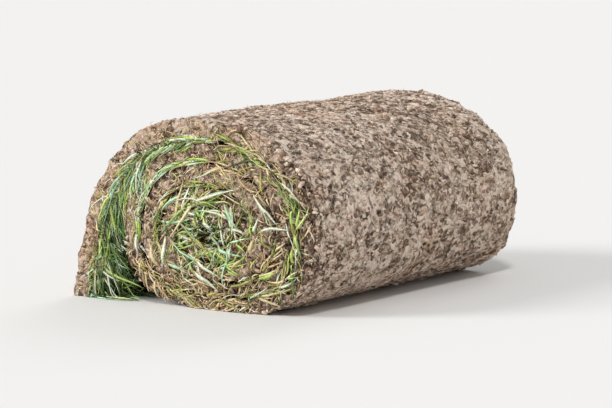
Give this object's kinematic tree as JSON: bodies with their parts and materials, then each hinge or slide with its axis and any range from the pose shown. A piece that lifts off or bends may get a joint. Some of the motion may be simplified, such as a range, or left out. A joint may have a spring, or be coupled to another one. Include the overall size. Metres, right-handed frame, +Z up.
{
  "type": "roll of turf",
  "caption": "Strip of lawn turf rolled up soil side out into a sagged oval roll, lying on its side, with its loose outer lap hanging down to the floor.",
  "frame": {"origin": "On the floor, on the flat underside of the roll, under the eye of the coil and midway between the two ends.", "axes": "X runs across the roll, with the loose lap on the -X side, Y along the roll's axis and Z up."},
  "size_m": [0.3108, 0.4, 0.1956],
  "materials": {
    "turf": "matte, matted soil and roots"
  },
  "bodies": {
    "root": {"turf_roll": "turf"}
  },
  "joints": []
}
